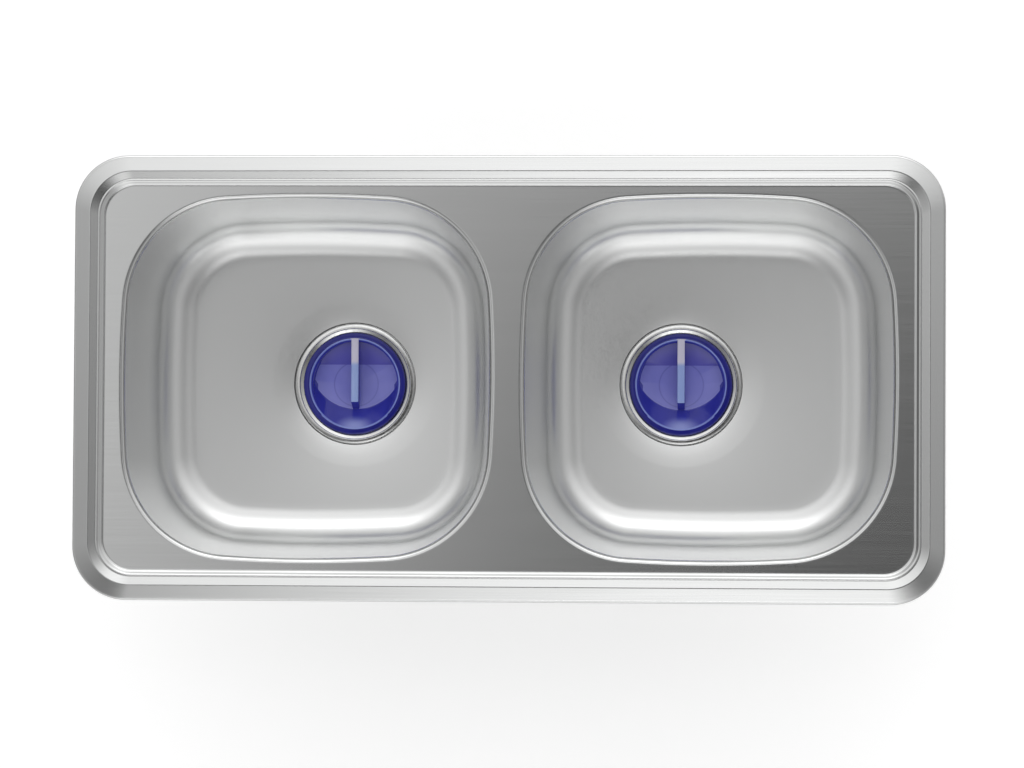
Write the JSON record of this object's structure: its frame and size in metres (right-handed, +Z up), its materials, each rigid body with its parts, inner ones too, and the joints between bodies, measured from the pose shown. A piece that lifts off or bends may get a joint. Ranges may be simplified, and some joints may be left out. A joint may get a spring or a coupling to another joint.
{
  "type": "double bowl kitchen sink",
  "caption": "Drop-in stainless steel kitchen sink with a raised rim, two equal rounded square bowls, a lift-out blue plug in each waste, and swing-out fixing clips underneath.",
  "frame": {"origin": "centre of the worktop cut-out, level with the worktop's top face", "axes": "+X along the sink to the right, +Y to the back (the wall side), +Z up"},
  "size_m": [0.8, 0.41, 0.2449],
  "materials": {
    "polished_steel": "polished stainless steel with fine hairlines along the length",
    "satin_steel": "satin stainless steel",
    "blue_plastic": "glossy translucent blue plastic",
    "black_rubber": "matt black rubber",
    "foam_seal": "dark grey closed-cell foam",
    "white_plastic": "white moulded polypropylene",
    "damping_pad": "dark bitumen damping sheet",
    "zinc_steel": "zinc-plated steel"
  },
  "bodies": {
    "root": {"sink_top": "polished_steel", "bowl_left": "satin_steel", "bowl_right": "satin_steel", "rim_seal": "foam_seal", "rail_front": "zinc_steel", "rail_back": "zinc_steel", "rail_left": "zinc_steel", "rail_right": "zinc_steel", "clip_brackets": "zinc_steel", "sound_pad_left": "damping_pad", "sound_pad_right": "damping_pad", "waste_flanges": "polished_steel", "waste_gaskets": "black_rubber", "waste_bodies": "white_plastic", "waste_screws": "polished_steel"},
    "plug_left": {"plug_left": "blue_plastic", "plug_seal_left": "black_rubber"},
    "plug_right": {"plug_right": "blue_plastic", "plug_seal_right": "black_rubber"},
    "clip_claw_front_left": {"clip_claw_front_left": "zinc_steel"},
    "clip_screw_front_left": {"clip_screw_front_left": "zinc_steel"},
    "clip_claw_front_right": {"clip_claw_front_right": "zinc_steel"},
    "clip_screw_front_right": {"clip_screw_front_right": "zinc_steel"},
    "clip_claw_back_left": {"clip_claw_back_left": "zinc_steel"},
    "clip_screw_back_left": {"clip_screw_back_left": "zinc_steel"},
    "clip_claw_back_right": {"clip_claw_back_right": "zinc_steel"},
    "clip_screw_back_right": {"clip_screw_back_right": "zinc_steel"},
    "clip_claw_left": {"clip_claw_left": "zinc_steel"},
    "clip_screw_left": {"clip_screw_left": "zinc_steel"},
    "clip_claw_right": {"clip_claw_right": "zinc_steel"},
    "clip_screw_right": {"clip_screw_right": "zinc_steel"}
  },
  "joints": [
    {"name": "lift_plug_left", "type": "slide", "parent": "root", "child": "plug_left", "axis": [0, 0, 1], "range_m": [0, 0.1]},
    {"name": "lift_plug_right", "type": "slide", "parent": "root", "child": "plug_right", "axis": [0, 0, 1], "range_m": [0, 0.1]},
    {"name": "swing_claw_front_left", "type": "hinge", "parent": "root", "child": "clip_claw_front_left", "pos_m": [-0.215, -0.1812, -0.044], "axis": [-1, 0, 0], "range_deg": [0, 60]},
    {"name": "wind_screw_front_left", "type": "slide", "parent": "root", "child": "clip_screw_front_left", "axis": [0, 0, 1], "range_m": [0, 0.02135]},
    {"name": "swing_claw_front_right", "type": "hinge", "parent": "root", "child": "clip_claw_front_right", "pos_m": [0.215, -0.1812, -0.044], "axis": [-1, 0, 0], "range_deg": [0, 60]},
    {"name": "wind_screw_front_right", "type": "slide", "parent": "root", "child": "clip_screw_front_right", "axis": [0, 0, 1], "range_m": [0, 0.02135]},
    {"name": "swing_claw_back_left", "type": "hinge", "parent": "root", "child": "clip_claw_back_left", "pos_m": [-0.215, 0.1812, -0.044], "axis": [1, 0, 0], "range_deg": [0, 60]},
    {"name": "wind_screw_back_left", "type": "slide", "parent": "root", "child": "clip_screw_back_left", "axis": [0, 0, 1], "range_m": [0, 0.02135]},
    {"name": "swing_claw_back_right", "type": "hinge", "parent": "root", "child": "clip_claw_back_right", "pos_m": [0.215, 0.1812, -0.044], "axis": [1, 0, 0], "range_deg": [0, 60]},
    {"name": "wind_screw_back_right", "type": "slide", "parent": "root", "child": "clip_screw_back_right", "axis": [0, 0, 1], "range_m": [0, 0.02135]},
    {"name": "swing_claw_left", "type": "hinge", "parent": "root", "child": "clip_claw_left", "pos_m": [-0.3762, 0, -0.044], "axis": [0, 1, 0], "range_deg": [0, 60]},
    {"name": "wind_screw_left", "type": "slide", "parent": "root", "child": "clip_screw_left", "axis": [0, 0, 1], "range_m": [0, 0.02135]},
    {"name": "swing_claw_right", "type": "hinge", "parent": "root", "child": "clip_claw_right", "pos_m": [0.3762, 0, -0.044], "axis": [0, -1, 0], "range_deg": [0, 60]},
    {"name": "wind_screw_right", "type": "slide", "parent": "root", "child": "clip_screw_right", "axis": [0, 0, 1], "range_m": [0, 0.02135]}
  ],
  "couplings": [
    {"joint": "wind_screw_front_left", "follows": "swing_claw_front_left", "m_per_rad": 0.02034},
    {"joint": "wind_screw_front_right", "follows": "swing_claw_front_right", "m_per_rad": 0.02034},
    {"joint": "wind_screw_back_left", "follows": "swing_claw_back_left", "m_per_rad": 0.02034},
    {"joint": "wind_screw_back_right", "follows": "swing_claw_back_right", "m_per_rad": 0.02034},
    {"joint": "wind_screw_left", "follows": "swing_claw_left", "m_per_rad": 0.02034},
    {"joint": "wind_screw_right", "follows": "swing_claw_right", "m_per_rad": 0.02034}
  ]
}
